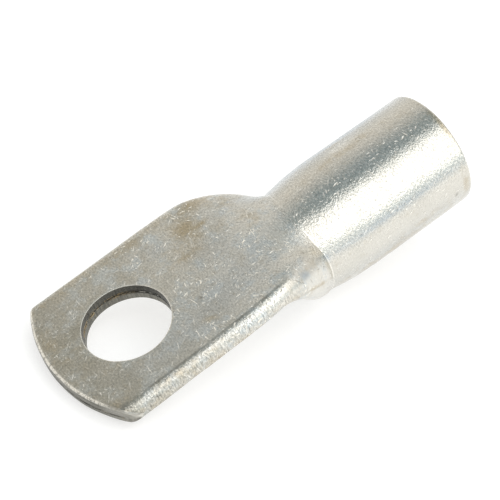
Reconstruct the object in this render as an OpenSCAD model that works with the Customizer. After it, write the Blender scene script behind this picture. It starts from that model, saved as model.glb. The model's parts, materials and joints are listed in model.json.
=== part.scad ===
// Tubular cable lug with one stud hole, in tin-plated copper.
// One length of tube: its far end is pressed flat into a palm of two wall layers that is drilled
// for a stud, and its near end stays round to take a stranded cable, which is crimped in.
// Sizes are in millimetres. The lug's own axes have their origin at the centre of the stud hole in
// the contact face, X along the tube towards its mouth and Z out of the contact face. The barrel's
// top is flush with that face where the plain barrel starts, and dips a little from there to the
// mouth. The finished lug is turned about Y by the tilt at which it lies on a table with the
// contact face up, on the palm's tip and the shoulder under the barrel.

/* [Palm] */
// Width of the palm across its folded edges
palm_w = 21.3; // [19:0.1:24]
// Thickness of the palm, two pressed wall layers
palm_t = 2.4; // [1.8:0.1:3.2]
// Hairline gap between the two pressed layers
seam_gap = 0.12; // [0.06:0.02:0.3]
// Diameter of the stud hole
stud_d = 10.5; // [6.4:0.1:13]
// Distance from the stud hole's centre to the tip of the palm
tip_reach = 9.9; // [8.5:0.1:14]
// Radius of the arc that the tip is sheared to
tip_r = 19; // [14:0.1:40]
// Radius of the palm's two corners
corner_r = 1.1; // [0.4:0.1:3]
// Distance from the stud hole's centre to where the folded edges start to draw in
palm_reach = 10.1; // [8:0.1:20]

/* [Flattening] */
// Length from the start of the draw-in to the die's crease round the tube
flare_len = 13.4; // [9:0.1:20]
// Distance by which the underside stays flat for longer than the edges stay straight
underside_lag = 4.3; // [1:0.1:6]

/* [Barrel] */
// Outer diameter of the barrel
barrel_od = 15; // [13:0.1:17]
// Wall thickness of the barrel
barrel_wall = 1.25; // [0.9:0.05:1.8]
// Length of the plain barrel with its full bore, up to the mouth
barrel_len = 14.3; // [10:0.1:30]
// Angle by which the barrel leans away from the contact face's plane
barrel_dip = 2.3; // [0:0.1:5]
// Depth by which the tube is necked in at the die's crease
neck_in = 0.65; // [0.2:0.05:1]
// Length over which the neck runs out into the plain barrel
neck_len = 7; // [3:0.1:10]
// Radius of the outer edge of the mouth
mouth_r = 0.3; // [0.1:0.05:0.4]
// Width of the chamfer inside the mouth, which guides the strands in
mouth_chamfer = 0.35; // [0.1:0.05:0.45]

/* [Hidden] */
$fn = 96;

tube_r = barrel_od/2;
bore_r = tube_r - barrel_wall;
fold_r = palm_t/2;                       // the folded edges are full half rounds
flat_half = palm_w/2 - fold_r;           // half width of the palm's flat
crease_x = palm_reach + flare_len;
plain_x = crease_x + neck_len;           // where the plain barrel starts

lap = 0.4;                               // length by which the formed part reaches into its neighbours
inset = 0.03;                            // depth of the formed part's skin below theirs there
over = 1;                                // how far a cutter runs past what it cuts

flat_steps = 9;                          // points along each flat of half a section
fold_steps = 10;                         // points round the fold of half a section
flare_steps = 16;                        // sections from the palm to the crease
neck_steps = 4;                          // sections from the crease into the plain barrel

// A rise from 0 to 1 that starts as a curve of power a and ends as one of power b
function rise(u, a, b) = let(c = min(max(u, 0), 1)) 1 - pow(1 - pow(c, a), b);
function smooth(u) = let(c = min(max(u, 0), 1)) c*c*(3 - 2*c);

// Progress of the forming at x: the width, the flank next to the contact face, and the underside
function width_rise(x) = rise((x - palm_reach)/flare_len, 2.2, 0.8);
function underside_u(x) = (x - palm_reach - underside_lag)/(flare_len - underside_lag);
function shoulder_rise(x) = rise(underside_u(x), 2.9, 0.9);
function underside_rise(x) = rise(underside_u(x), 1.5, 2.35);

// How far the tube has been necked in at x, at most neck_in at the crease and before it
function necked(x) = neck_in*pow(1 - min(max((x - crease_x)/neck_len, 0), 1), 2);

// Half a section from its top centre (s = 0) round the fold (s = 0.5) to its bottom centre
// (s = 1): once pressed flat, with end radius r about mid height, and once as a dipped tube
fold_share = fold_r*PI/(2*flat_half + fold_r*PI);
flat_share = (1 - fold_share)/2;
function flat_point(x, s, r) =
    let(a = 180*min(max((s - flat_share)/fold_share, 0), 1),
        run = flat_half*min(min(s, 1 - s)/flat_share, 1))
    [x, run + r*sin(a), r*cos(a) - fold_r];
function tube_point(x, s, r) =
    let(along = x - plain_x,
        z = r*cos(180*s) - tube_r)
    [plain_x + along*cos(barrel_dip) + z*sin(barrel_dip), r*sin(180*s),
     z*cos(barrel_dip) - along*sin(barrel_dip)];

// The same point between the two forms at x. The tube's top drops to its curve late and its
// underside early, so the weight of that drop changes with s.
function formed_point(x, s, flat_r, round_r) =
    let(pressed = flat_point(x, s, flat_r),
        tube = tube_point(x, s, round_r - necked(x)),
        low = smooth((s - 0.3)/0.45),
        drop = (1 - low)*shoulder_rise(x) + low*underside_rise(x),
        draw = width_rise(x))
    pressed + [for (i = [0 : 2]) (tube[i] - pressed[i])*[drop, draw, drop][i]];

half_s = concat([for (i = [0 : flat_steps - 1]) flat_share*i/flat_steps],
                [for (i = [0 : fold_steps - 1]) flat_share + fold_share*i/fold_steps],
                [for (i = [0 : flat_steps]) 1 - flat_share*(1 - i/flat_steps)]);
ring_n = 2*(len(half_s) - 1);

// One whole ring of the wall's outer or inner skin
function ring(x, flat_r, round_r) =
    let(half = [for (s = half_s) formed_point(x, s, flat_r, round_r)],
        n = len(half))
    concat(half, [for (i = [n - 2 : -1 : 1]) [half[i].x, -half[i].y, half[i].z]]);

stations = concat([palm_reach - lap],
                  [for (i = [1 : flare_steps]) palm_reach + flare_len*i/flare_steps],
                  [for (i = [1 : neck_steps]) crease_x + (neck_len + lap)*i/neck_steps]);

// Tilt at rest: the steepest line from the tip's lower edge to the underside's centre line
rest_tilt = max([for (x = stations) if (x > palm_reach)
    let(low = formed_point(x, 1, fold_r, tube_r)) atan2(-palm_t - low.z, low.x + tip_reach)]);

module palm_outline() {
    corner_y = palm_w/2 - corner_r;
    arc_x = tip_r - tip_reach;
    corner_x = arc_x - sqrt(pow(tip_r - corner_r, 2) - corner_y*corner_y);
    difference() {
        intersection() {
            translate([arc_x, 0]) circle(r = tip_r);
            translate([-tip_reach - over, -palm_w/2]) square([tip_reach + over + palm_reach, palm_w]);
        }
        for (side = [-1, 1])
            polygon([[corner_x, side*corner_y], [corner_x, side*(palm_w/2 + over)],
                     [-tip_reach - over, side*(palm_w/2 + over)],
                     [arc_x - tip_r*(arc_x - corner_x)/(tip_r - corner_r),
                      side*tip_r*corner_y/(tip_r - corner_r)]]);
    }
    for (side = [-1, 1]) translate([corner_x, side*corner_y]) circle(r = corner_r);
}

// The pressed bar before it is sheared: flat with half-round folded edges
module folded_bar(r) {
    length = tip_reach + palm_reach + over;
    translate([-tip_reach - over, -flat_half, -fold_r - r]) cube([length, 2*flat_half, 2*r]);
    for (side = [-1, 1])
        translate([-tip_reach - over, side*flat_half, -fold_r]) rotate([0, 90, 0]) cylinder(r = r, h = length);
}

module palm() {
    difference() {
        intersection() {
            folded_bar(fold_r);
            translate([0, 0, -palm_t - over]) linear_extrude(palm_t + 2*over) palm_outline();
        }
        folded_bar(seam_gap/2);
        translate([0, 0, -palm_t - over]) cylinder(d = stud_d, h = palm_t + 2*over);
    }
}

// The formed wall between palm and barrel, a loft of closed rings that is open at both ends
module flattening() {
    count = len(stations);
    last = count - 1;
    outer = [for (x = stations) each ring(x, fold_r - inset, tube_r - inset)];
    inner = [for (x = stations) each ring(x, seam_gap/2 + inset, bore_r + inset)];
    shift = len(outer);
    function skin(base, k, i, flip) =
        let(j = (i + 1)%ring_n,
            quad = [base + k*ring_n + i, base + k*ring_n + j,
                    base + (k + 1)*ring_n + j, base + (k + 1)*ring_n + i])
        flip ? [[quad[0], quad[1], quad[2]], [quad[0], quad[2], quad[3]]]
             : [[quad[0], quad[2], quad[1]], [quad[0], quad[3], quad[2]]];
    function rim(k, i, flip) =
        let(j = (i + 1)%ring_n, a = k*ring_n + i, b = k*ring_n + j)
        flip ? [[a, b, shift + b], [a, shift + b, shift + a]]
             : [[a, shift + b, b], [a, shift + a, shift + b]];
    polyhedron(points = concat(outer, inner),
               faces = concat([for (k = [0 : last - 1], i = [0 : ring_n - 1]) each skin(0, k, i, true)],
                              [for (k = [0 : last - 1], i = [0 : ring_n - 1]) each skin(shift, k, i, false)],
                              [for (i = [0 : ring_n - 1]) each rim(0, i, false)],
                              [for (i = [0 : ring_n - 1]) each rim(last, i, true)]));
}

// The plain barrel, turned: full bore, a rounded outer edge and a chamfer inside the mouth
module barrel() {
    translate([plain_x, 0, 0]) rotate([0, barrel_dip, 0])
    translate([0, 0, -tube_r]) rotate([0, 90, 0]) rotate_extrude() {
        polygon([[bore_r, 0], [tube_r, 0], [tube_r, barrel_len - mouth_r],
                 [tube_r - mouth_r, barrel_len - mouth_r], [tube_r - mouth_r, barrel_len],
                 [bore_r + mouth_chamfer, barrel_len], [bore_r, barrel_len - mouth_chamfer]]);
        intersection() {
            translate([tube_r - mouth_r, barrel_len - mouth_r]) circle(r = mouth_r);
            translate([tube_r - mouth_r, barrel_len - mouth_r]) square(mouth_r);
        }
    }
}

module terminal_body() {
    color([0.72, 0.71, 0.68]) rotate([0, -rest_tilt, 0]) {
        palm();
        flattening();
        barrel();
    }
}

terminal_body();
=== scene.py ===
import json
import math

import bmesh
import bpy
import numpy as np
from mathutils import Matrix, Vector, noise


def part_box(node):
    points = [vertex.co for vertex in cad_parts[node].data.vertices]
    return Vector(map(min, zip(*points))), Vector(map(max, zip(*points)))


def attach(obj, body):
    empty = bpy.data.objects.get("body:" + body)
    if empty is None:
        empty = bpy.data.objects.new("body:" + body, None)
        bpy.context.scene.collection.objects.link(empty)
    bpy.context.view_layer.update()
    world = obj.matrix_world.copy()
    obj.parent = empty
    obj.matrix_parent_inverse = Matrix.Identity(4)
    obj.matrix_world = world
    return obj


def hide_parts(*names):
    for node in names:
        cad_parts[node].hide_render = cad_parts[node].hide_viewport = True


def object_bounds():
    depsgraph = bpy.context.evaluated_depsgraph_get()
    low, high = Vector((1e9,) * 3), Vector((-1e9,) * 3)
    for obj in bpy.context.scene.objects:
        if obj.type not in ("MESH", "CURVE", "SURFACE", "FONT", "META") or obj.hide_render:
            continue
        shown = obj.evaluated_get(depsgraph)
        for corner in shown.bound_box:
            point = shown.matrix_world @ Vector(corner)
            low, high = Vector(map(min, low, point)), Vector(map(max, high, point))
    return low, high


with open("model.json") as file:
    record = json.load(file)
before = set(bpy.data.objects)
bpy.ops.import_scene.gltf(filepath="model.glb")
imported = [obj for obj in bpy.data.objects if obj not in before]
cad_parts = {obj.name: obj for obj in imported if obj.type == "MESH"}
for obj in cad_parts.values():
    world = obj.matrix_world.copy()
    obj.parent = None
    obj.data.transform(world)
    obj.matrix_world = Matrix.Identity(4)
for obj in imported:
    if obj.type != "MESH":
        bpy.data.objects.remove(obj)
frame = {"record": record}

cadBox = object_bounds()
millimetre = 0.001
mounts = {mount["name"]: mount for mount in frame["record"]["mounts"]}
print("frame loaded")


# The lug's form, in millimetres and in its own axes: origin at the stud hole's centre in the contact face,
# X along the tube towards the mouth, Z out of the contact face, far and near folded edge at +Y and -Y

lugForm = {
    "tipReach": 9.9,  # stud hole to the tip
    "tipRadius": 19,  # arc that the tip is sheared to
    "cornerRadius": 1.1,
    "palmReach": 10.1,  # stud hole to where the folded edges draw in
    "flareLength": 13.4,  # from there to the crease
    "undersideLag": 4.3,  # the underside stays flat for longer
    "neckDepth": 0.65,  # how far the crease is pressed in
    "neckLength": 7,
    "barrelLength": 14.3,  # plain barrel up to the mouth
    "wall": 1.25,
    "seamGap": 0.12,  # between the palm's two layers
    "mouthRadius": 0.3,
    "mouthChamfer": 0.35,
    "holeRoll": 0.11,  # rounded edge of the punched hole
    "tipRoll": 0.38,  # rounded upper edge of the sheared tip
    "tipRollBelow": 0.6,
    "tipRollChange": {"from": 0.44, "over": 0.12},  # where one becomes the other, in shares of half the girth
    "drawIn": (2.2, 0.8),  # how the width changes from palm to crease: powers of the curve's start and end
    "shoulderDrop": (2.9, 0.9),  # the same for the side next to the contact face, and for the underside
    "undersideDrop": (1.5, 2.35),
    "undersideShare": {"from": 0.3, "over": 0.45},  # where the underside's curve takes over round the tube
    "earlyLift": {"until": 0.25, "over": 0.15, "start": 0.7, "end": 0.2},  # the middle leaves its plane early
    "creaseBow": {  # the crease bows towards the palm
        "depth": 0.65,
        "middle": -2.2,
        "reach": 5.4,
        "before": 6,  # where it grows and where it fades, along the tube from the crease
        "growsOver": 5.5,
        "after": 0.5,
        "fadesOver": 6,
    },
    "unevenness": 0.035,  # wobble of the pressed skin
    "wobble": ((0.22, 1), (0.6, 0.5)),  # waves per millimetre and strength
}
nearFold = {
    "flatHalf": 9.02,  # the near edge starts to round further in
    "upperRadius": 1.3,
    "softerBy": 0.3,  # added to the upper radius towards the barrel
    "drawnIn": 0.8,  # share of that by which the flat gets narrower
    "softerFrom": 4,
    "softerOver": 11,
    "lowerRadius": 0.4,
    "upperEnd": math.radians(55),
    "lowerStart": math.radians(108),
    "cornerRadius": 1.8,
}

studAxis = mounts["stud_hole"]["axis"]
boreAxis = mounts["cable_bore"]["axis"]
tilt = math.atan2(-studAxis[0], studAxis[2])
dip = tilt - math.atan2(boreAxis[2], boreAxis[0])
palmThickness = mounts["stud_hole"]["dims"]["length_mm"]
holeRadius = mounts["stud_hole"]["dims"]["r_mm"]
boreRadius = mounts["cable_bore"]["dims"]["r_mm"]
nodeLow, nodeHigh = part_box("terminal_body")
palmHalf = (nodeHigh.y - nodeLow.y)/2/millimetre
tubeRadius = boreRadius + lugForm["wall"]
foldRadius = palmThickness/2
flatHalf = palmHalf - foldRadius
creaseAt = lugForm["palmReach"] + lugForm["flareLength"]
plainAt = creaseAt + lugForm["neckLength"]
halfGirth = 2*flatHalf + math.pi*foldRadius
flatShare = flatHalf/halfGirth
slitRadius = lugForm["seamGap"]/2


def rise(u, first, last):
    return 1 - (1 - np.clip(u, 0, 1)**first)**last


def ease(u):
    u = np.clip(u, 0, 1)
    return u*u*(3 - 2*u)


def nearEdge(x, angle):  # section of the near folded edge: half width of the flat above it, run out, drop
    softer = ease((x - nearFold["softerFrom"])/nearFold["softerOver"])
    first, last = nearFold["upperEnd"], nearFold["lowerStart"]
    upper = nearFold["upperRadius"] + nearFold["softerBy"]*softer
    lower = nearFold["lowerRadius"]
    remaining = palmThickness - upper*(1 - math.cos(first)) - lower*(1 + math.cos(last))
    flank = remaining/(math.cos(first) - math.cos(last))
    arcs = ((upper, 0, first), (flank, first, last), (lower, last, math.pi))
    out = sum(radius*(np.sin(np.clip(angle, low, high)) - math.sin(low)) for radius, low, high in arcs)
    down = sum(radius*(math.cos(low) - np.cos(np.clip(angle, low, high))) for radius, low, high in arcs)
    return nearFold["flatHalf"] - nearFold["drawnIn"]*nearFold["softerBy"]*softer, out, down


def pressedPoint(x, turn, radius):  # section pressed flat, turn from -1 to 1 round it with 0 on top
    s = abs(turn)
    angle = math.pi*np.clip((s - flatShare)/(1 - 2*flatShare), 0, 1)
    half, out, down = flatHalf, radius*np.sin(angle), foldRadius - radius*np.cos(angle)
    under = flatHalf
    if radius == foldRadius:
        nearHalf, nearOut, nearDown = nearEdge(x, angle)
        near = turn < 0
        under = np.where(near, nearHalf + nearEdge(x, math.pi)[1], half)
        half, out, down = (np.where(near, nearSide, farSide) for nearSide, farSide in (
            (nearHalf, half), (nearOut, out), (nearDown, down)))
    run = np.where(s > 1 - flatShare, under*(1 - s)/flatShare, half*np.minimum(s/flatShare, 1) + out)
    return x, np.sign(turn)*run, -down


def tubePoint(x, turn, radius):
    along = x - plainAt
    z = radius*np.cos(math.pi*turn) - tubeRadius
    return (plainAt + along*math.cos(dip) + z*math.sin(dip), radius*np.sin(math.pi*turn),
            z*math.cos(dip) - along*math.sin(dip))


def formedPoint(x, turn, flatRadius, roundRadius):  # between the pressed form and the tube
    pastPalm, lag = x - lugForm["palmReach"], lugForm["undersideLag"]
    lagged = (pastPalm - lag)/(lugForm["flareLength"] - lag)
    draw = rise(pastPalm/lugForm["flareLength"], *lugForm["drawIn"])
    underside, lift = lugForm["undersideShare"], lugForm["earlyLift"]
    low = ease((abs(turn) - underside["from"])/underside["over"])
    early = 1 - ease((abs(turn) - lift["until"])/lift["over"])
    first, last = lugForm["shoulderDrop"]
    drop = (1 - low)*rise(lagged, first - lift["start"]*early, last + lift["end"]*early) \
        + low*rise(lagged, *lugForm["undersideDrop"])
    necked = lugForm["neckDepth"]*(1 - np.clip((x - creaseAt)/lugForm["neckLength"], 0, 1))**2
    pressed = pressedPoint(x, turn, flatRadius)
    tube = tubePoint(x, turn, roundRadius - necked)
    formed = [p + (t - p)*share for p, t, share in zip(pressed, tube, (drop, draw, drop))]
    bow = lugForm["creaseBow"]
    bowed = bow["depth"]*np.exp(-((turn*halfGirth - bow["middle"])/bow["reach"])**4)
    pastCrease = x - creaseAt
    grown = ease((pastCrease + bow["before"])/bow["growsOver"])
    formed[0] = formed[0] - bowed*grown*(1 - ease((pastCrease - bow["after"])/bow["fadesOver"]))
    return np.stack(formed, -1)


def tipAt(y):  # X of the sheared tip at that place of the outline
    nearHalf = sum(nearEdge(0, math.pi/2)[:2])
    half = np.where(y < 0, nearHalf, palmHalf)
    corner = np.where(y < 0, nearFold["cornerRadius"], lugForm["cornerRadius"])
    cornerY = half - corner
    arcX = lugForm["tipRadius"] - lugForm["tipReach"]
    innerRadius = lugForm["tipRadius"] - corner
    cornerX = arcX - np.sqrt(innerRadius**2 - cornerY**2)
    y = np.minimum(abs(y), half)
    onArc = arcX - np.sqrt(lugForm["tipRadius"]**2 - y*y)
    onCorner = cornerX - np.sqrt(np.maximum(corner**2 - (y - cornerY)**2, 0))
    return np.where(y < cornerY*lugForm["tipRadius"]/innerRadius, onArc, onCorner)


# The lug's mesh: patches of quads that are welded into one closed skin

meshDetail = {
    "flatSteps": 20,  # across half of the palm's flat
    "foldSteps": 16,  # round each folded edge
    "sideSteps": 38,  # along the palm beside the hole
    "holeSteps": 22,  # from the hole's edge out to the palm's
    "flareSteps": 64,
    "neckSteps": 26,
    "barrelSteps": 40,
    "rollSteps": 4,  # round each small edge
    "mouthSteps": 7,
    "creaseRings": (-0.16, -0.11, -0.06, 0, 0.06, 0.11, 0.16),  # from the crease, in millimetres
    "ringGap": 0.03,  # from those to the next ring, at least
    "mouthGap": 0.1,  # from the barrel's last ring to the chamfer
    "wallRings": (0.9, 0.7, 0.5, 0.35, 0.2, 0.1),  # down a sheared wall, as shares of its height
    "flareCrowding": 0.8,  # powers that crowd the rings at the crease and round the hole
    "neckCrowding": 1.3,
    "holeCrowding": 1.25,
    "weldWithin": 0.0005,
}


class Skin:  # collects patches: points, places on the unrolled tube, how sheared they are, how strong their light edge line is, and whether outside
    def __init__(self):
        self.points, self.places, self.faces, self.finish, self.count = [], [], [], [], 0

    def patch(self, points, places, sheared=0, worn=0, outside=1):
        rows, columns = points.shape[:2]
        index = self.count + np.arange(rows*columns).reshape(rows, columns)
        corners = [index[:-1, :-1], index[1:, :-1], index[1:, 1:], index[:-1, 1:]]
        finish = [np.broadcast_to(value, (rows, columns)) for value in (sheared, worn, outside)]
        self.points.append(points.reshape(-1, 3))
        self.places.append(places.reshape(-1, 2))
        self.faces.append(np.stack(corners, -1).reshape(-1, 4))
        self.finish.append(np.stack(finish, -1).reshape(-1, 3))
        self.count += rows*columns


def turnSteps():  # places round half a section
    flat = np.linspace(0, flatShare, meshDetail["flatSteps"] + 1)
    fold = np.linspace(flatShare, 1 - flatShare, meshDetail["foldSteps"] + 1)
    return np.concatenate([flat[:-1], fold, (1 - flat[::-1])[1:]])


def ringTurns():
    half = turnSteps()
    return np.concatenate([-half[::-1], half[1:]])


def loftStations():  # X of each ring from the palm to the mouth, closest at the crease
    flareShare, neckShare, barrelShare = (np.linspace(0, 1, meshDetail[name] + 1)
                                          for name in ("flareSteps", "neckSteps", "barrelSteps"))
    flare = lugForm["palmReach"] + lugForm["flareLength"]*flareShare**meshDetail["flareCrowding"]
    nearCrease = creaseAt + np.array(meshDetail["creaseRings"])
    neck = creaseAt + lugForm["neckLength"]*neckShare**meshDetail["neckCrowding"]
    barrelReach = lugForm["barrelLength"] - lugForm["mouthChamfer"] - meshDetail["mouthGap"]
    barrel = plainAt + barrelReach*barrelShare
    gap = meshDetail["ringGap"]
    return np.concatenate([flare[flare < nearCrease[0] - gap], nearCrease,
                           neck[neck > nearCrease[-1] + gap][:-1], barrel])


innerShift = 60  # the inner skin, the hole's wall and the tip's end face have places of their own
holeShift = 100
tipShift = 200
slitRoll = 0.03  # width of the bevel at the slit's edges
edgeFinish = {  # how sheared the edges look, and their light line, which is partly wear and partly painted highlight
    "mouthWear": 0.3,
    "wornRings": 1.1,  # width of the light line on a rolled edge, partly wear and partly painted highlight, in rings
    "draggedFrom": 7,  # tin is dragged over the near folded edge's end, between these places round the tube
    "draggedOver": 1.5,
    "draggedTo": 15.5,
    "draggedFade": 2,
    "draggedShear": (0.65, 0.9),  # above and below
    "draggedCover": (0.2, 0.8),  # how much of the shear and of the light edge line the dragged tin hides
}


def onTube(x, turn):
    return np.stack([x + 0*turn, turn*halfGirth + 0*x], -1)


def addLoft(skin):
    x, turn = np.meshgrid(loftStations(), ringTurns(), indexing="ij")
    skin.patch(formedPoint(x, turn, foldRadius, tubeRadius), onTube(x, turn))
    skin.patch(formedPoint(x, turn, slitRadius, boreRadius), onTube(x, turn) + [0, innerShift], outside=0)


def addMouth(skin):  # from the outer skin over the rounded edge and the face to the chamfer and the bore
    end = plainAt + lugForm["barrelLength"]
    start = loftStations()[-1]
    roll, chamfer = lugForm["mouthRadius"], lugForm["mouthChamfer"]
    faceEdge, chamferEdge, boreEdge = 0.05, 0.03, 0.04  # small bevels between the mouth's faces
    angles = np.linspace(0, math.pi/2, meshDetail["mouthSteps"])
    profile = [(start, tubeRadius)]
    profile += [(end - roll + roll*math.sin(a), tubeRadius - roll + roll*math.cos(a)) for a in angles]
    profile += [(end, boreRadius + chamfer + faceEdge), (end - chamferEdge, boreRadius + chamfer),
                (end - chamfer, boreRadius + chamferEdge), (end - chamfer - boreEdge, boreRadius),
                (start, boreRadius)]
    x, turn = np.meshgrid([p[0] for p in profile], ringTurns(), indexing="ij")
    radius = np.array([p[1] for p in profile])[:, None]
    ring = np.arange(len(profile))[:, None]
    outside = ring < len(profile) - 3  # the last three lie in the bore
    worn = edgeFinish["mouthWear"]*(ring > 1)*outside
    points, places = np.stack(tubePoint(x, turn, radius), -1), onTube(x + tubeRadius - radius, turn)
    skin.patch(points, places, 0, worn, outside)


def tipRollAt(turn):
    change = lugForm["tipRollChange"]
    below = ease((abs(turn) - change["from"])/change["over"])
    return lugForm["tipRoll"] + (lugForm["tipRollBelow"] - lugForm["tipRoll"])*below


def addFolds(skin):  # the palm's two folded edges, outer skin and slit
    turns = np.linspace(flatShare, 1 - flatShare, meshDetail["foldSteps"] + 1)
    share = np.linspace(0, 1, meshDetail["sideSteps"] + 1)[:, None]
    for side in (-1, 1):
        for radius, roll, shift in ((foldRadius, tipRollAt(turns), 0), (slitRadius, slitRoll, innerShift)):
            y = pressedPoint(0, side*turns, radius)[1][None, :]
            start = tipAt(y) + roll
            x = start + (lugForm["palmReach"] - start)*share
            turn = side*turns[None, :] + 0*x
            points, places = np.stack(pressedPoint(x, turn, radius), -1), onTube(x, turn) + [0, shift]
            skin.patch(points, places, outside=shift == 0)


def aroundFlat(radius, roll, side):  # border of one flat face: far end, far edge, tip, near edge
    share = np.linspace(0, 1, meshDetail["sideSteps"] + 1)
    turns = flatShare*np.linspace(-1, 1, 2*meshDetail["flatSteps"] + 1)
    turns = turns if side > 0 else np.where(turns < 0, -1, 1)*(1 - abs(turns))
    reach = lugForm["palmReach"]
    endY, tipY = (pressedPoint(x, turns, radius)[1] for x in (reach, 0))
    tipX = tipAt(tipY) + roll
    farX, nearX = (tip + (reach - tip)*share for tip in (tipX[-1], tipX[0]))
    farY = pressedPoint(farX, turns[-1] + 0*farX, radius)[1]
    nearY = pressedPoint(nearX, turns[0] + 0*nearX, radius)[1]
    return (np.concatenate([reach + 0*endY, farX[::-1][1:], tipX[::-1][1:], nearX[1:]]),
            np.concatenate([endY, farY[::-1][1:], tipY[::-1][1:], nearY[1:]]))


def addFlats(skin):  # the flat faces round the stud hole, above and below, outside and in the slit
    out = np.linspace(0, 1, meshDetail["holeSteps"] + 1)[:, None]**meshDetail["holeCrowding"]
    borderX, borderY = aroundFlat(slitRadius, 0, 1)
    angle = np.arctan2(borderY, borderX)  # of the hole's own points, the same in every face
    for side in (1, -1):
        addHoleWall(skin, angle, side)
        outer = foldRadius, float(tipRollAt(side < 0)), lugForm["holeRoll"], 0
        for radius, roll, rim, shift in (outer, (slitRadius, slitRoll, slitRoll, innerShift)):
            borderX, borderY = aroundFlat(radius, roll, side)
            holeX, holeY = (holeRadius + rim)*np.cos(angle), (holeRadius + rim)*np.sin(angle)
            x = holeX + (borderX - holeX)*out
            y = holeY + (borderY - holeY)*out
            points = np.stack([x, y, side*radius - foldRadius + 0*x], -1)
            place = np.stack([x, y if side > 0 else halfGirth - y], -1) + [0, shift]
            skin.patch(points, place, outside=shift == 0)


def rolledWall(roll):  # profile through one layer: each ring's inset and height, how sheared it is, and how strong its light edge line is, partly wear and partly painted highlight
    steps = np.linspace(0, math.pi/2, meshDetail["rollSteps"] + 1)
    wall = foldRadius - roll - slitRadius
    profile = [(roll - roll*math.sin(a), foldRadius - roll + roll*math.cos(a)) for a in steps]
    profile += [(0*roll, slitRadius + share*wall) for share in meshDetail["wallRings"]]
    profile += [(0*roll, slitRadius + slitRoll + 0*roll), (slitRoll + 0*roll, slitRadius + 0*roll)]
    inset, height = np.array(profile).transpose(1, 0, 2)
    rings = np.arange(len(profile))[:, None]
    rolled = len(steps) - 1
    sheared = np.clip((rings - rolled/4)/(rolled/3), 0, 1)
    worn = np.exp(-((rings - rolled/3)/edgeFinish["wornRings"])**2)
    return inset, height, sheared, worn


def addHoleWall(skin, angle, side):
    inset, height, sheared, worn = rolledWall(lugForm["holeRoll"] + 0*angle)
    radius = holeRadius + inset
    points = np.stack([radius*np.cos(angle), radius*np.sin(angle), side*height - foldRadius + 0*angle], -1)
    place = np.stack([angle*holeRadius + holeShift + 0*height, side*height - foldRadius + 0*angle], -1)
    skin.patch(points, place, sheared, worn)


def addTip(skin):  # the sheared end face, from each layer's outer skin to the slit
    turn = ringTurns()
    inset, height, sheared, worn = rolledWall(tipRollAt(turn))
    turn = turn[None, :] + 0*height
    share = (height - slitRadius)/(foldRadius - slitRadius)
    outerY, outerZ = pressedPoint(0, turn, foldRadius)[1:]
    slitY, slitZ = pressedPoint(0, turn, slitRadius)[1:]
    y, z = slitY + (outerY - slitY)*share, slitZ + (outerZ - slitZ)*share
    points = np.stack([tipAt(y) + inset, y, z], -1)
    around = turn*halfGirth
    above, below = abs(turn) < 0.5, abs(turn) > 0.5
    dragged = ease((-around - edgeFinish["draggedFrom"])/edgeFinish["draggedOver"]) \
        * ease((around + edgeFinish["draggedTo"])/edgeFinish["draggedFade"])
    shearAbove, shearBelow = edgeFinish["draggedShear"]
    hidesShear, hidesWornAndHighlit = edgeFinish["draggedCover"]
    sheared = np.maximum(sheared*(1 - hidesShear*dragged), shearBelow*below + shearAbove*dragged*above)
    worn = worn*(1 - hidesWornAndHighlit*dragged)*above
    skin.patch(points, np.stack([height + tipShift + 0*turn, around], -1), sheared, worn)


# Patches on the outer skin: place along and round the tube, size each way, strength
stainsAndShade = {
    "far edge": (3, 9.4, 12, 0.8, 0.5),
    "far shoulder": (15.2, 8.6, 2.4, 1.1, 0.75),
    "behind the hole": (12.8, 6.2, 1.4, 1.5, 0.7),
    "rub mark": (14.6, 5.2, 0.9, 0.35, 0.6),
    "far half": (12.2, 5, 3.4, 2.8, 0.45),
    "middle": (10.2, 2.4, 1.6, 0.8, 0.6),
    "flattening": (19.4, 1.6, 0.9, 1.6, 0.6),
    "crease": (18.5, 6.2, 1.6, 2.2, 0.45),
    "near the hole": (7.2, -6.7, 1.1, 0.45, 0.7),
    "side of the hole": (6.6, 8.7, 1.8, 0.8, 0.5),
    "tip": (-8.2, 3.6, 1, 3.4, 0.5),
    "tip corner": (-7.4, -8.6, 1.3, 1, 0.6),
    "fold": (1, -10.4, 8, 0.8, 0.4),
    "fold's foot": (6, -11.9, 11, 0.9, 0.55),
    "bulge": (21.2, -9.2, 1.2, 0.9, 0.35),
    "wrinkle": (20.2, -11.7, 3.2, 0.22, 0.7),
    "top of the barrel": (29, 1.2, 4.5, 0.8, 0.3),
    "around the oval": (35.9, 1.7, 1.2, 0.45, 0.6),
    "beside the oval": (33.5, 3.8, 2.6, 0.35, 0.6),
    "below the oval": (32.5, 1.2, 2.4, 0.35, 0.45),
    "barrel's shade": (41, 0.8, 2.5, 1.4, 0.2),
    "mouth": (44.4, -3.4, 0.45, 2.6, 0.9),
    "near mouth": (43.9, -11, 0.5, 2.4, 0.6),
    # painted shade: the next two darken the barrel's underside where it faces the shaded floor
    "under the barrel": (37, -12.6, 4, 0.6, 0.35),
    "barrel's lower edge": (33, -14.2, 11, 1.1, 0.65),
}
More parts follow.
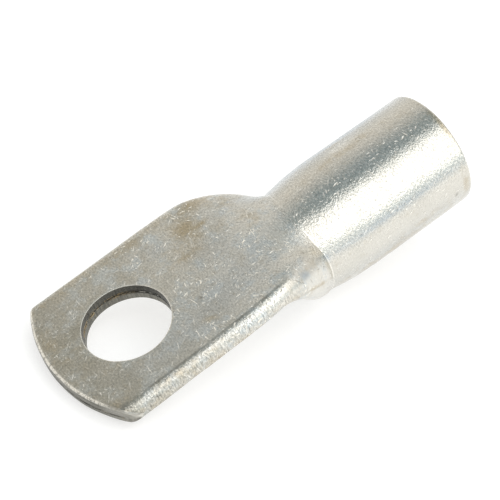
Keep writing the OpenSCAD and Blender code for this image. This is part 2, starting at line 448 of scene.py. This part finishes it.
# Cool grey patches: on the barrel and at the crease they are painted reflections of the cool dome, and on the
# barrel's underside painted shade; on the palm and the fold's crest they tint the tin
coolTintsAndReflections = {
    "barrel's far side": (33, 5.6, 12, 1.9, 1.3),
    "barrel's underside": (34, -14, 12, 1.8, 0.6),
    "dark band": (34, -1.9, 13, 1.4, 0.45),
    "under the highlight": (33, -8.5, 10, 0.45, 0.7),
    "highlight's end": (18.8, -10.1, 0.7, 0.35, 0.9),
    "crease's foot": (23.5, -8.6, 0.35, 0.5, 1),
    "near half": (12.5, -4.8, 5, 2.8, 0.35),
    "beside the hole": (3, -6.2, 7, 2.2, 0.35),
    "fold's crest": (1, -10.3, 8, 0.7, 0.45),
    "middle": (14, 0.6, 2.4, 1.6, 0.3),
    "far half": (8.6, 5.8, 1.2, 1.2, 0.4),
}
# Lighter patches: the barrel's oval is cleaner tin; the shoulders and the fold get a painted highlight
cleanAndHighlitPlaces = {
    "near shoulder": (20.6, -5.6, 2.3, 2.2, 0.7),
    "far shoulder": (20.4, 5.6, 2.2, 1.8, 0.7),
    "barrel's oval": (33.7, 2.6, 2, 0.5, 1.5),
    "fold": (14.5, -10.3, 3, 0.6, 0.6),
}
darkMarksAndShadePlaces = {
    # painted shade: darkens the near fold's end by the tip, where its top would catch the softbox; the others
    # are marks, a nick and a pit
    "tip's near end": (-7.3, -10.2, 0.9, 1.4, 0.9),
    "nick": (-6.6, -9.5, 0.3, 0.2, 1),
    "mark": (8, -3.6, 0.5, 0.12, 1),
    "smaller mark": (7.6, -3.9, 0.15, 0.2, 0.9),
    "pit on the barrel": (42.3, -12.2, 0.25, 0.25, 0.8),
    "beside the crease": (19.6, -4.6, 0.5, 0.1, 0.7),
}


def strengthAt(patches, places):
    total = np.zeros(len(places))
    for along, around, length, width, strength in patches.values():
        away = ((places[:, 0] - along)/length)**2 + ((places[:, 1] - around)/width)**2
        total += strength*np.exp(-away)
    return np.minimum(total, 1)


def buildSkin():
    skin = Skin()
    for add in (addLoft, addMouth, addFolds, addFlats, addTip):
        add(skin)
    mesh = bpy.data.meshes.new("lug")
    faces, places = np.concatenate(skin.faces), np.concatenate(skin.places)
    mesh.from_pydata(np.concatenate(skin.points).tolist(), [], faces.tolist())
    tubeMap = mesh.uv_layers.new(name="tubeMap")
    tubeMap.uv.foreach_set("vector", places[faces.ravel()].astype(np.float32).ravel())
    finish = np.concatenate(skin.finish).astype(np.float32)
    layers = dict(zip(("sheared", "worn", "outside"), finish.T))
    handPlaced = {"stained": stainsAndShade, "cool": coolTintsAndReflections, "clean": cleanAndHighlitPlaces, "dark": darkMarksAndShadePlaces}
    for name, patches in handPlaced.items():
        layers[name] = strengthAt(patches, places)
    for name, values in layers.items():
        mesh.attributes.new(name, "FLOAT", "POINT").data.foreach_set("value", values.astype(np.float32))
    work = bmesh.new()
    work.from_mesh(mesh)
    bmesh.ops.remove_doubles(work, verts=work.verts, dist=meshDetail["weldWithin"])
    bmesh.ops.recalc_face_normals(work, faces=work.faces)
    openEdges = sum(not edge.is_manifold for edge in work.edges)
    volume = round(work.calc_volume(signed=True))
    print("lug skin:", len(work.faces), "faces,", openEdges, "open edges,", volume, "mm3")
    work.to_mesh(mesh)
    work.free()
    return mesh


def roughen(mesh):  # gives the outer skin its slight wobble
    count = len(mesh.vertices)
    normals, points, outside = (np.zeros(count*size, np.float32) for size in (3, 3, 1))
    mesh.vertices.foreach_get("normal", normals)
    mesh.vertices.foreach_get("co", points)
    mesh.attributes["outside"].data.foreach_get("value", outside)
    mesh.attributes.remove(mesh.attributes["outside"])
    normals, points = normals.reshape(-1, 3), points.reshape(-1, 3)
    wobble = np.array([sum(strength*noise.noise(Vector(p)*waves) for waves, strength in lugForm["wobble"])
                       for p in points.tolist()])
    move = outside*wobble*lugForm["unevenness"]
    mesh.vertices.foreach_set("co", (points + normals*move[:, None]).astype(np.float32).ravel())


lugMesh = buildSkin()
roughen(lugMesh)
lugMesh.transform(Matrix.Rotation(-tilt, 4, "Y") @ Matrix.Scale(millimetre, 4))
for polygon in lugMesh.polygons:
    polygon.use_smooth = True
lug = bpy.data.objects.new("cable_lug", lugMesh)
bpy.context.scene.collection.objects.link(lug)
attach(lug, "root")
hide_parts("terminal_body")
print("lug mesh ready")


# Shader sums as plain expressions

class Wire:  # one socket of a node tree
    def __init__(self, socket):
        self.socket = socket

    def out(self, name):
        return Wire(self.socket.node.outputs[name])

    def sum(self, operation, first, second):
        tree = self.socket.id_data
        vector = any(isinstance(v, Wire) and v.socket.type != "VALUE" for v in (first, second))
        node = tree.nodes.new("ShaderNodeVectorMath" if vector else "ShaderNodeMath")
        node.operation = operation
        for socket, value in zip(node.inputs, (first, second)):
            if isinstance(value, Wire):
                tree.links.new(value.socket, socket)
            elif vector and not isinstance(value, (tuple, list)):
                socket.default_value = (value, value, value)
            else:
                socket.default_value = value
        return Wire(node.outputs[0])

    def __add__(self, other):
        return self.sum("ADD", self, other)

    def __radd__(self, other):
        return self.sum("ADD", other, self)

    def __sub__(self, other):
        return self.sum("SUBTRACT", self, other)

    def __rsub__(self, other):
        return self.sum("SUBTRACT", other, self)

    def __mul__(self, other):
        return self.sum("MULTIPLY", self, other)

    def __rmul__(self, other):
        return self.sum("MULTIPLY", other, self)

    def __pow__(self, other):
        return self.sum("POWER", self, other)

    def __abs__(self):
        return self.sum("ABSOLUTE", self, 0)


class Graph:  # the node tree of one material or of the world
    def __init__(self, owner):
        owner.use_nodes = True
        self.tree = owner.node_tree
        self.tree.nodes.clear()

    def node(self, kind, settings=None, values=None, output=0):
        made = self.tree.nodes.new("ShaderNode" + kind)
        for name, value in (settings or {}).items():
            if name == "stops":
                ramp = made.color_ramp
                while len(ramp.elements) < len(value):
                    ramp.elements.new(1)
                for element, (place, colour) in zip(ramp.elements, value):
                    element.position = place
                    element.color = colour
            else:
                setattr(made, name, value)
        for name, value in (values or {}).items():
            if isinstance(value, Wire):
                self.tree.links.new(value.socket, made.inputs[name])
            else:
                made.inputs[name].default_value = value
        return Wire(made.outputs[output]) if len(made.outputs) else made

    def mixColours(self, share, first, second):
        values = {"Factor": share, 6: first, 7: second}
        return self.node("Mix", {"data_type": "RGBA"}, values, 2)

    def between(self, value, low, high):  # 0 at low, 1 at high, eased
        values = {"Value": value, "From Min": low, "From Max": high}
        return self.node("MapRange", {"interpolation_type": "SMOOTHSTEP"}, values)

    def clouds(self, place, size, detail, roughness, output="Fac"):
        values = {"Vector": place, "Scale": 1/size, "Detail": detail, "Roughness": roughness}
        return self.node("TexNoise", {}, values, output)

    def parts(self, vector):
        x = self.node("SeparateXYZ", {}, {"Vector": vector})
        return x, x.out("Y"), x.out("Z")


def strokes(graph, place, look):  # short scratches, one in each cell, each turned its own way
    values = {"Vector": place, "Scale": 1/look["spacing"]}
    cell = graph.node("TexVoronoi", {"voronoi_dimensions": "2D"}, values, "Position")
    pickX, pickY, pickZ = graph.parts(cell.out("Color"))
    turned = graph.node("VectorRotate", {"rotation_type": "Z_AXIS"},
                        {"Vector": place - cell, "Angle": look["turn"] + pickX*look["spread"]})
    along, across = graph.parts(turned)[:2]
    bowed = across + along*along*(pickZ - 0.5)*look["bow"]
    taper = 1.05 - (along*(2/look["length"]))**2  # just above 1, so that the ends stay a little blunt
    thin = 1 - graph.between(abs(bowed), 0.3*look["width"]*taper, look["width"]*taper)
    short = 1 - graph.between(abs(along), look["length"]*0.35, look["length"]*0.5)
    return thin*short*graph.between(pickY, 1 - look["share"], 1 - look["share"]*0.4)


# Tin plating: colours, roughness, then grain and marks in millimetres
tin = {
    "bright": (0.765, 0.745, 0.69, 1),
    "aged": (0.41, 0.39, 0.33, 1),
    "brown": (0.50, 0.43, 0.31, 1),
    "bluish": (0.62, 0.665, 0.68, 1),
    "coolGrey": (0.48, 0.52, 0.55, 1),
    "clean": (0.88, 0.86, 0.80, 1),
    "scraped": (0.98, 0.95, 0.88, 1),
    "grime": (0.30, 0.285, 0.25, 1),
    "sheared": (0.27, 0.26, 0.225, 1),
    "shearedDark": (0.12, 0.118, 0.103, 1),
    "shade": (0.035, 0.035, 0.03, 1),
    "copperTrace": (0.42, 0.31, 0.16, 1),
    "palmRoughness": 0.30,
    "barrelRoughness": 0.20,
    "shearedRoughness": 0.42,
    "patchyRoughness": 0.12,  # how much clouding, stains and scratches change the roughness
    "stainRoughness": 0.06,
    "scratchRoughness": 0.4,
    "clouding": (6, 4, 0.55),  # size, detail and roughness of each noise
    "patches": (2.4, 5, 0.65),
    "mottling": (1.3, 4, 0.7),
    "grain": (0.19, 2, 0.7),
    "dragLines": (0.2, 4, 0.7),  # marks that the shear drags along its faces
    "raggedness": (0.5, 2, 0.5),
    "raggedBy": 0.05,
    "patchesSeed": 31,
    "mottlingSeed": 83,
    "grainStretch": (1, 0.55, 1),
    "dragStretch": (1, 0.05, 1),
    "grainHeight": 0.06,
    "grainShade": 1.35,
    "dragLineHeight": 0.07,
    "scratchDepth": 0.04,
    "scratchDeeper": 0.01,  # added on the barrel
    "creaseFlat": 0.03,
    "creaseWidth": 0.13,
    "creaseWiderBelow": 0.6,
    "creaseHeight": 0.02,
    "coarserFold": 0.5,  # grain on the folded edges, and on the smooth near side before the crease
    "finerSide": 0.75,
    # painted shade: a dark line where the near fold starts to turn and reflects the dark overhead
    "foldGrime": {"at": -9.68, "width": 0.2, "from": -6.5, "fadeIn": 4, "to": 16.8, "fadeOut": 1},
    "grimeCore": 0.2,  # share of its width that is quite dark
    "scratches": [
        {"spacing": 3.3, "length": 1.8, "width": 0.07, "share": 0.5, "turn": -2, "spread": 1.3, "bow": 0.15},
        {"spacing": 1.3, "length": 0.85, "width": 0.1, "share": 0.5, "turn": -2.3, "spread": 2.4,
         "bow": 0.25},
        {"spacing": 0.8, "length": 0.5, "width": 0.09, "share": 0.45, "turn": 0, "spread": 6.28, "bow": 0.5},
        {"spacing": 0.5, "length": 0.26, "width": 0.065, "share": 0.4, "turn": 0, "spread": 6.28, "bow": 0},
    ],
    "darkMarks": [
        {"spacing": 2.6, "length": 1.3, "width": 0.06, "share": 0.5, "turn": -1.2, "spread": 2.2, "bow": 0.4},
        {"spacing": 1.0, "length": 0.5, "width": 0.07, "share": 0.5, "turn": 0, "spread": 6.28, "bow": 0.5},
    ],
}
zones = {  # start and end of each change of finish along or round the unrolled tube, in millimetres
    "barrel": (creaseAt - 1.5, creaseAt + 0.2),
    "flare": (14, 20),
    "fold": (9, 10),
    "towardsTip": (-12, 16),
    "rubbedFrom": (2, 9),
    "rubbedTo": (19, 23),
    "smoothSide": (-8.5, -10.5),
    "smoothFrom": (14, 19),
    "lowOnCrease": (-7.6, -8.6),
    "holeWall": (holeShift - 30, holeShift - 20),
    "holeWallEnd": (holeShift + 50, holeShift + 60),
    "farRight": (holeShift + 3, holeShift + 10),
    "upperLayer": (-foldRadius - 0.05, -foldRadius + 0.15),
    "holeSeam": (0.12, 0.4),
    "tip": (tipShift - 10, tipShift - 5),
    "tipSeam": (0.1, 0.3),
}
levels = {  # noise values between which each mark comes in
    "rubbed": (0.42, 0.58),
    "aged": (0.45, 0.75),
    "bluish": (0.46, 0.62),
    "clean": (0.3, 0.6),
    "cool": (0.18, 0.48),
    "blotched": (0.52, 0.72),
    "stained": (0.4, 0.65),
    "grime": (0.8, 1.1),
    "sheared": (0.3, 0.7),
    "tipSeam": (0.75, 1),
    "gilded": (0.6, 0.7),
    "gildedSeam": (0.72, 0.85),
    "bared": (0.58, 0.82),
}
rubbing = {  # how the scratches gather
    "least": 0.3,  # strength outside a cluster, and what a cluster adds
    "clustered": 0.8,
    "quiet": 0.6,  # the same for the busy part between hole and crease
    "busy": 0.55,
    "barrelBusy": 0.7,  # how much of that the barrel gets too
    "lightStep": 17.3,  # shifts each layer of scratches, so that no two are alike
    "darkSeed": 5.1,
    "darkStep": 13.7,
}
shares = {  # how strong each colour gets
    "agedTip": 0.75,
    "agedPalm": 0.2,
    "agedClouds": 0.3,
    "bluish": 0.7,
    "blotched": 0.3,
    "grime": 0.8,
    "marked": 0.45,
    "crease": 0.3,
    "creaseBelow": 0.3,
    "upperLayer": 0.45,
    "upperLayerRight": 0.3,
    "tipSeam": 0.8,
    "gilded": 0.2,
    "scratchedBarrel": 0.35,  # taken off on the barrel
    "markedBarrel": 0.35,
    "blotchedBarrel": 0.1,
}


def tinPlating():
    material = bpy.data.materials.new("tinnedCopper")
    graph = Graph(material)
    between = graph.between
    inMillimetres = graph.node("TexCoord", {}, {}, "Object")*(1/millimetre)
    place = graph.node("UVMap", {"uv_map": "tubeMap"})
    alongTube, roundTube = graph.parts(place)[:2]
    stained, cool, clean, dark, sheared, worn = (
        graph.node("Attribute", {"attribute_name": name}, {}, "Fac")
        for name in ("stained", "cool", "clean", "dark", "sheared", "worn"))

    cloud = graph.clouds(inMillimetres, *tin["clouding"])
    patchy = graph.clouds(inMillimetres + tin["patchesSeed"], *tin["patches"])
    mottled = graph.clouds(inMillimetres + tin["mottlingSeed"], *tin["mottling"])
    grain = graph.clouds(place*tin["grainStretch"], *tin["grain"])
    lines = graph.clouds(place*tin["dragStretch"], *tin["dragLines"])
    ragged = place + graph.clouds(place, *tin["raggedness"], "Color")*tin["raggedBy"]

    # Where on the lug
    onBarrel = between(alongTube, *zones["barrel"])
    onFlare = between(alongTube, *zones["flare"])
    onFold = between(abs(roundTube), *zones["fold"])*(1 - onFlare)
    onHoleWall = between(alongTube, *zones["holeWall"])*(1 - between(alongTube, *zones["holeWallEnd"]))
    onTip = between(alongTube, *zones["tip"])
    towardsTip = 1 - between(alongTube, *zones["towardsTip"])
    beforeFlare = 1 - onFlare*(1 - onBarrel)
    smoothSide = between(roundTube, *zones["smoothSide"])*between(alongTube, *zones["smoothFrom"])
    lowOnCrease = between(roundTube, *zones["lowOnCrease"])
    nearSeam = onHoleWall*(1 - between(abs(roundTube + foldRadius), *zones["holeSeam"]))
    upperLayer = onHoleWall*between(roundTube, *zones["upperLayer"])
    farRight = 1 - between(alongTube, *zones["farRight"])
    # painted dark line along the start of the near fold, where it reflects the dark overhead
    grime = tin["foldGrime"]
    onFoldDarkLine = (1 - between(abs(roundTube - grime["at"]), tin["grimeCore"]*grime["width"], grime["width"])) \
        * between(alongTube, grime["from"], grime["from"] + grime["fadeIn"]) \
        * (1 - between(alongTube, grime["to"] - grime["fadeOut"], grime["to"]))

    # Scratches come in clusters, most of them between the hole and the crease
    busy = between(alongTube, *zones["rubbedFrom"]) \
        * (1 - between(alongTube, *zones["rubbedTo"])*(1 - onBarrel*rubbing["barrelBusy"]))
    rubbed = (rubbing["least"] + between(patchy, *levels["rubbed"])*rubbing["clustered"]) \
        * (rubbing["quiet"] + busy*rubbing["busy"])
    scratches, darkMarks = enumerate(tin["scratches"]), enumerate(tin["darkMarks"])
    scratched = sum(strokes(graph, ragged + rubbing["lightStep"]*index, look) for index, look in scratches) \
        * rubbed*(1 - onBarrel*shares["scratchedBarrel"])
    marked = sum(strokes(graph, ragged + rubbing["darkSeed"] + rubbing["darkStep"]*index, look)
                 for index, look in darkMarks)
    # the crease: a slight ridge in the bump, and a painted highlight in the colour, wider low on the crease
    creaseWidth = tin["creaseWidth"]*(1 + lowOnCrease*tin["creaseWiderBelow"])
    crease = 1 - between(abs(alongTube - creaseAt), tin["creaseFlat"], creaseWidth)
    coarse = 1 + onFold*tin["coarserFold"] - smoothSide*tin["finerSide"]

    def cover(share, name):  # one more layer of the dictionary's colour over what is there
        return graph.mixColours(share, colour, tin[name])

    ageing = towardsTip*shares["agedTip"] + beforeFlare*shares["agedPalm"] \
        + between(cloud, *levels["aged"])*shares["agedClouds"]*(1 - onBarrel*0.5)
    colour = graph.mixColours(ageing, tin["bright"], tin["aged"])
    bluish = between(patchy, *levels["bluish"])*shares["bluish"]*(1 - onBarrel)*(1 - towardsTip*0.6)
    colour = cover(bluish, "bluish")
    # cleaner tin on the barrel's oval, and painted highlights on the shoulders and the fold
    colour = cover(clean*between(mottled, *levels["clean"]), "clean")
    # cool grey: tints on the palm, painted reflections and painted shade on the barrel
    colour = cover(cool*between(mottled, *levels["cool"]), "coolGrey")
    blotches = shares["blotched"] - onBarrel*shares["blotchedBarrel"]
    # brown stains, and painted shade on the barrel's underside
    blotched = between(mottled, *levels["blotched"])*blotches \
        + stained*between(mottled + stained*0.2, *levels["stained"])
    colour = cover(blotched, "brown")
    # the painted dark line along the start of the near fold
    colour = cover(onFoldDarkLine*between(mottled + grain, *levels["grime"])*shares["grime"], "grime")
    colour = colour*(1 + (grain - 0.5)*tin["grainShade"]*coarse)
    # dark scratches and marks, and painted shade on the near fold's end by the tip
    colour = cover(marked*(shares["marked"] - onBarrel*shares["markedBarrel"]) + dark, "grime")
    # scratches in scraped tin, and a painted highlight along the crease
    colour = cover(scratched + crease*(shares["crease"] + lowOnCrease*shares["creaseBelow"]), "scraped")

    # The sheared faces, with painted shade in the seam between the two layers, over the hole wall's upper
    # layer at the right, and along the tip's seam
    cut = graph.mixColours(between(lines, *levels["sheared"]), tin["shearedDark"], tin["sheared"])
    tipSeam = onTip*(1 - between(abs(alongTube - tipShift), *zones["tipSeam"])) \
        * between(mottled + grain, *levels["tipSeam"])
    seamShade = nearSeam*farRight + upperLayer*(shares["upperLayer"] + farRight*shares["upperLayerRight"])
    cut = graph.mixColours(seamShade + tipSeam*shares["tipSeam"], cut, tin["shade"])
    gilded = between(mottled, *levels["gilded"])*shares["gilded"] \
        + nearSeam*between(mottled + grain*0.5, *levels["gildedSeam"])*(1 - farRight)
    cut = graph.mixColours(gilded, cut, tin["copperTrace"])
    colour = graph.mixColours(sheared, colour, cut)
    # the light line on rolled edges: partly worn tin, partly a painted highlight of the rounded edge
    bared = between(grain + mottled*0.5 + onHoleWall*0.12, *levels["bared"])
    colour = cover(worn*bared, "scraped")

    bareRoughness = tin["palmRoughness"] + onBarrel*(tin["barrelRoughness"] - tin["palmRoughness"])
    roughness = bareRoughness + (patchy - 0.5)*tin["patchyRoughness"] + stained*tin["stainRoughness"] \
        + scratched*tin["scratchRoughness"] + sheared*(tin["shearedRoughness"] - bareRoughness)
    depth = (scratched + marked*(1 - onBarrel))*(tin["scratchDepth"] + onBarrel*tin["scratchDeeper"])
    height = grain*tin["grainHeight"]*coarse - depth + crease*tin["creaseHeight"] \
        + sheared*lines*tin["dragLineHeight"]
    bump = graph.node("Bump", {}, {"Strength": 1, "Distance": millimetre, "Height": height})
    shader = graph.node("BsdfPrincipled", {}, {"Base Color": colour, "Metallic": 1, "Roughness": roughness,
                                               "Normal": bump})
    graph.node("OutputMaterial", {}, {"Surface": shader})
    return material


lug.data.materials.append(tinPlating())
print("tin plating ready")


# Studio: pale floor, light dome that darkens overhead, one large softbox at the side, fill from above
studio = {
    "floorSize": 3.0,
    "floorColour": (0.52, 0.52, 0.52, 1),
    "floorGlow": 0.56,  # a little light comes through the paper from below
    "dome": [(0, (0.70, 0.70, 0.685, 1)), (0.15, (0.80, 0.795, 0.765, 1)), (0.31, (0.865, 0.85, 0.805, 1)),
             (0.5, (0.875, 0.85, 0.80, 1)), (0.6, (0.83, 0.81, 0.76, 1)), (0.7, (0.735, 0.72, 0.68, 1)),
             (0.8, (0.64, 0.64, 0.615, 1)), (0.88, (0.545, 0.56, 0.545, 1)), (0.93, (0.45, 0.485, 0.48, 1)),
             (0.965, (0.33, 0.39, 0.395, 1)), (1, (0.28, 0.35, 0.365, 1))],
    "coolSide": (0.74, 0.85, 0.9, 1),  # the near side's light, low down
    "coolFrom": (-0.3, -0.8),
    "coolBelow": (0.15, 0.4),
    "softbox": {"azimuth": -80, "elevation": 44.5, "distance": 0.7, "size": (0.75, 0.79), "power": 2.42},
    "fill": {"height": 1.2, "size": 1.5, "power": 5.5},
}


def layFloor():
    half = studio["floorSize"]/2
    corners = ((-half, -half), (half, -half), (half, half), (-half, half))
    mesh = bpy.data.meshes.new("floor")
    mesh.from_pydata([(x, y, cadBox[0].z) for x, y in corners], [], [(0, 1, 2, 3)])
    floor = bpy.data.objects.new("studio_floor", mesh)
    bpy.context.scene.collection.objects.link(floor)
    material = bpy.data.materials.new("floorPaper")
    graph = Graph(material)
    shader = graph.node("BsdfPrincipled", {}, {"Base Color": studio["floorColour"], "Roughness": 0.9,
                                               "Specular IOR Level": 0.0, "Emission Color": (1, 1, 1, 1),
                                               "Emission Strength": studio["floorGlow"]})
    graph.node("OutputMaterial", {}, {"Surface": shader})
    mesh.materials.append(material)


def lightDome():
    world = bpy.data.worlds.new("studioDome")
    bpy.context.scene.world = world
    graph = Graph(world)
    direction = graph.node("TexCoord", {}, {}, "Generated")
    far, up = graph.parts(direction)[1:]
    sky = graph.node("ValToRGB", {"stops": studio["dome"]}, {"Fac": up})
    nearAndLow = graph.between(far, *studio["coolFrom"])*(1 - graph.between(up, *studio["coolBelow"]))
    sky = graph.mixColours(nearAndLow, sky, studio["coolSide"])
    background = graph.node("Background", {}, {"Color": sky, "Strength": 1})
    graph.node("OutputWorld", {}, {"Surface": background})


def areaLight(name, place, target, size, power):
    light = bpy.data.lights.new(name, "AREA")
    light.shape = "RECTANGLE"
    light.size, light.size_y = size
    light.energy = power
    lamp = bpy.data.objects.new(name, light)
    turned = (place - target).to_track_quat("Z", "Y").to_matrix().to_4x4()
    lamp.matrix_world = Matrix.Translation(place) @ turned
    bpy.context.scene.collection.objects.link(lamp)
    return lamp


def hangLights():
    centre = (Vector(cadBox[0]) + Vector(cadBox[1]))/2
    box = studio["softbox"]
    azimuth, elevation = math.radians(box["azimuth"]), math.radians(box["elevation"])
    direction = Vector((math.cos(elevation)*math.cos(azimuth), math.cos(elevation)*math.sin(azimuth),
                        math.sin(elevation)))
    areaLight("softbox", centre + direction*box["distance"], centre, box["size"], box["power"])
    fill = studio["fill"]
    above = centre + Vector((0, 0, fill["height"]))
    lamp = areaLight("fill", above, centre, (fill["size"], fill["size"]), fill["power"])
    lamp.visible_glossy = False


viewpoint = {
    "azimuth": -39.7,
    "elevation": 38.28,
    "roll": 4.63,
    "target": (13.8, -4.04, 7.23),  # mm
    "distance": 184,  # mm
    "lens": 118.1,
    "sensor": 36,
    "nearest": 0.01,  # m
}


def setCamera():
    azimuth, elevation, roll = (math.radians(viewpoint[name]) for name in ("azimuth", "elevation", "roll"))
    back = Vector((math.sin(azimuth)*math.cos(elevation), -math.cos(azimuth)*math.cos(elevation),
                   math.sin(elevation)))
    level = Vector((math.cos(azimuth), math.sin(azimuth), 0))
    upright = back.cross(level)
    right = level*math.cos(roll) + upright*math.sin(roll)
    up = upright*math.cos(roll) - level*math.sin(roll)
    camera = bpy.data.objects.new("camera", bpy.data.cameras.new("camera"))
    camera.data.lens = viewpoint["lens"]
    camera.data.sensor_width = viewpoint["sensor"]
    camera.data.clip_start = viewpoint["nearest"]
    place = (Vector(viewpoint["target"]) + back*viewpoint["distance"])*millimetre
    camera.matrix_world = Matrix.Translation(place) @ Matrix((right, up, back)).transposed().to_4x4()
    bpy.context.scene.collection.objects.link(camera)
    bpy.context.scene.camera = camera


layFloor()
lightDome()
hangLights()
setCamera()
bpy.context.scene.view_settings.view_transform = "Standard"
print("studio ready")
